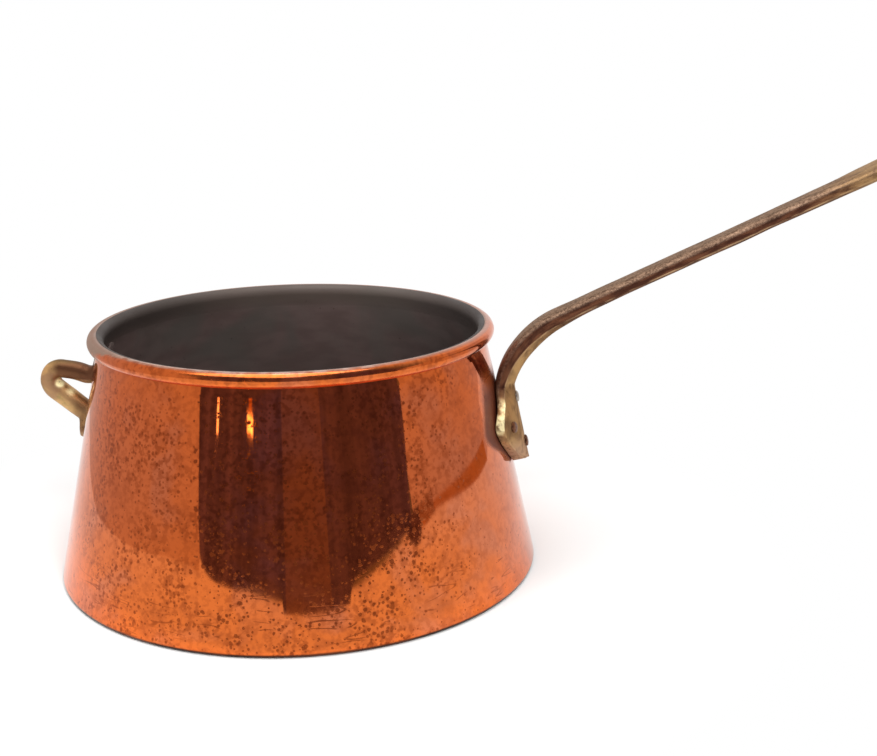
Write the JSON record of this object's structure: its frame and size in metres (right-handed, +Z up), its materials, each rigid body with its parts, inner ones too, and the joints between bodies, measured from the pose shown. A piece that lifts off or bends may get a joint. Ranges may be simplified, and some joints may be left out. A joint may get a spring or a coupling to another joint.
{
  "type": "copper saucepan",
  "caption": "Flared, tin-lined copper saucepan with a rolled rim, a long riveted brass handle and a small brass loop handle opposite it.",
  "frame": {"origin": "middle of the flat base, on the surface that the pot stands on", "axes": "+Z up the pot's axis, +X out along the long handle, -X out to the loop handle"},
  "size_m": [0.3571, 0.19, 0.1738],
  "materials": {
    "copper": "polished, with brown tarnish specks and film",
    "tin": "wiped tin, dull and darkened by use",
    "iron_wire": "plain wire",
    "cast_brass": "cast and filed, browned by handling",
    "bar_brass": "smooth, olive tarnish",
    "rivet_copper": "hammered, dark"
  },
  "bodies": {
    "root": {"pot_body": "copper", "tin_lining": "tin", "rim_wire": "iron_wire", "long_handle": "cast_brass", "loop_handle": "bar_brass", "handle_rivet_neck": "rivet_copper", "handle_rivet_front_wing": "rivet_copper", "handle_rivet_back_wing": "rivet_copper", "handle_rivet_tip": "rivet_copper", "loop_rivet_upper": "rivet_copper", "loop_rivet_lower": "rivet_copper"}
  },
  "joints": []
}
